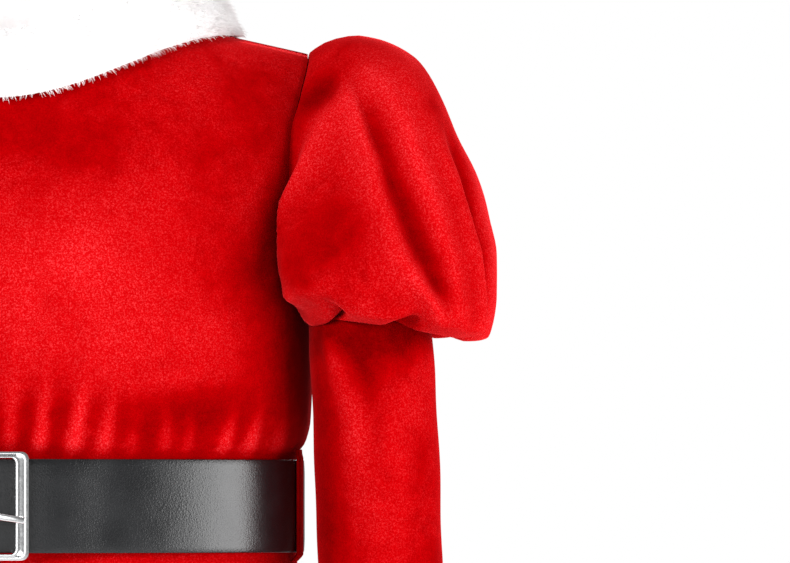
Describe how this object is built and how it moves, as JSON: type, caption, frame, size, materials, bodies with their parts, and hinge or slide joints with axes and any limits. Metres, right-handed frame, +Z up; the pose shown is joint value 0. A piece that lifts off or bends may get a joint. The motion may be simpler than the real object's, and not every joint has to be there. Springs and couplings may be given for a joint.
{
  "type": "christmas costume dress",
  "caption": "Red velvet knee-length costume dress with a white fur collar, puffed long sleeves, a gathered waist and a wide black buckled belt, in its hollow worn form.",
  "frame": {"origin": "midway between the shoulders, at the height where the dress rests on them beside its collar", "axes": "+Z up, the front faces -Y, +X towards the wearer's left"},
  "size_m": [0.6932, 0.4449, 0.8628],
  "materials": {
    "velvet": "red stretch velvet with a short pile, lighter on the crests of its folds",
    "fur": "white faux fur with a short dense pile",
    "belt_leather": "black fine-grained faux leather with a satin shine",
    "buckle_metal": "polished silver-coloured metal"
  },
  "bodies": {
    "root": {"bodice_front": "velvet", "bodice_back": "velvet", "skirt_front": "velvet", "skirt_back": "velvet", "collar_fur_front": "fur", "collar_fur_back": "fur", "puff_left": "velvet", "puff_right": "velvet", "sleeve_left": "velvet", "sleeve_right": "velvet", "belt_strap": "belt_leather", "belt_carrier_left": "velvet", "belt_carrier_right": "velvet", "buckle_frame": "buckle_metal", "buckle_prong": "buckle_metal"}
  },
  "joints": []
}
